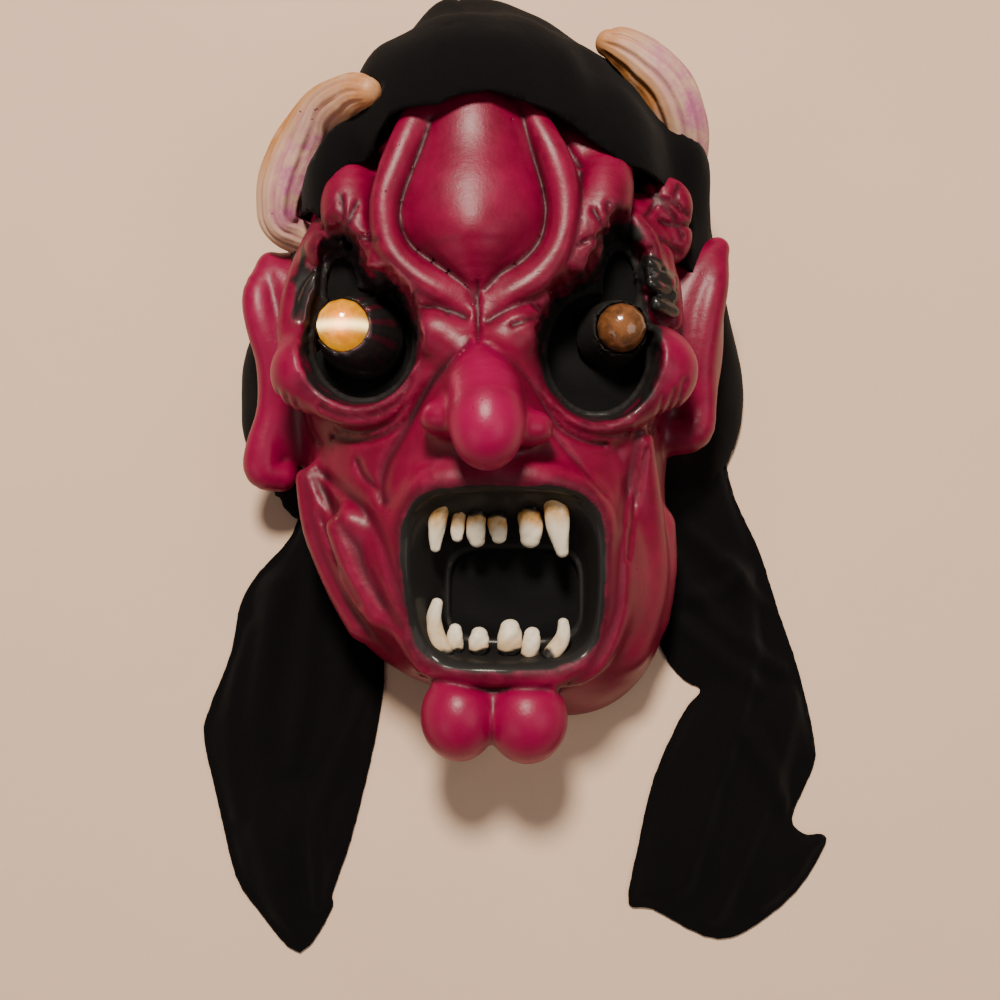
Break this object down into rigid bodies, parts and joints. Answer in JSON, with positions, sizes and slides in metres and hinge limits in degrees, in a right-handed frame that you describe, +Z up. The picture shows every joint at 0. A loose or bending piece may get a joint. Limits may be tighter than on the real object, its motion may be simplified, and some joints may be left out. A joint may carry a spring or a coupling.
{
  "type": "latex devil mask",
  "caption": "Moulded latex devil face with horns, open fanged mouth and lens eyes, fixed in a black cloth hood with two loose neck flaps; worn over the head or laid down.",
  "frame": {"origin": "on the table, under the middle of the whole mask and its spread flaps as it lies on its back", "axes": "+X to the viewer's right across the face, +Y from the chin towards the crown, +Z up out of the face"},
  "size_m": [0.268, 0.4176, 0.1351],
  "materials": {
    "latex": "airbrushed semi-gloss",
    "cloth": "matte knit",
    "lens_lit": "glowing",
    "lens": "amber, unlit",
    "scrim": "open weave"
  },
  "bodies": {
    "root": {"latex_mask": "latex", "hood": "cloth", "eye_dome_left": "lens_lit", "eye_dome_right": "lens", "eye_scrim_left": "scrim", "eye_scrim_right": "scrim", "mouth_scrim": "scrim"}
  },
  "joints": []
}
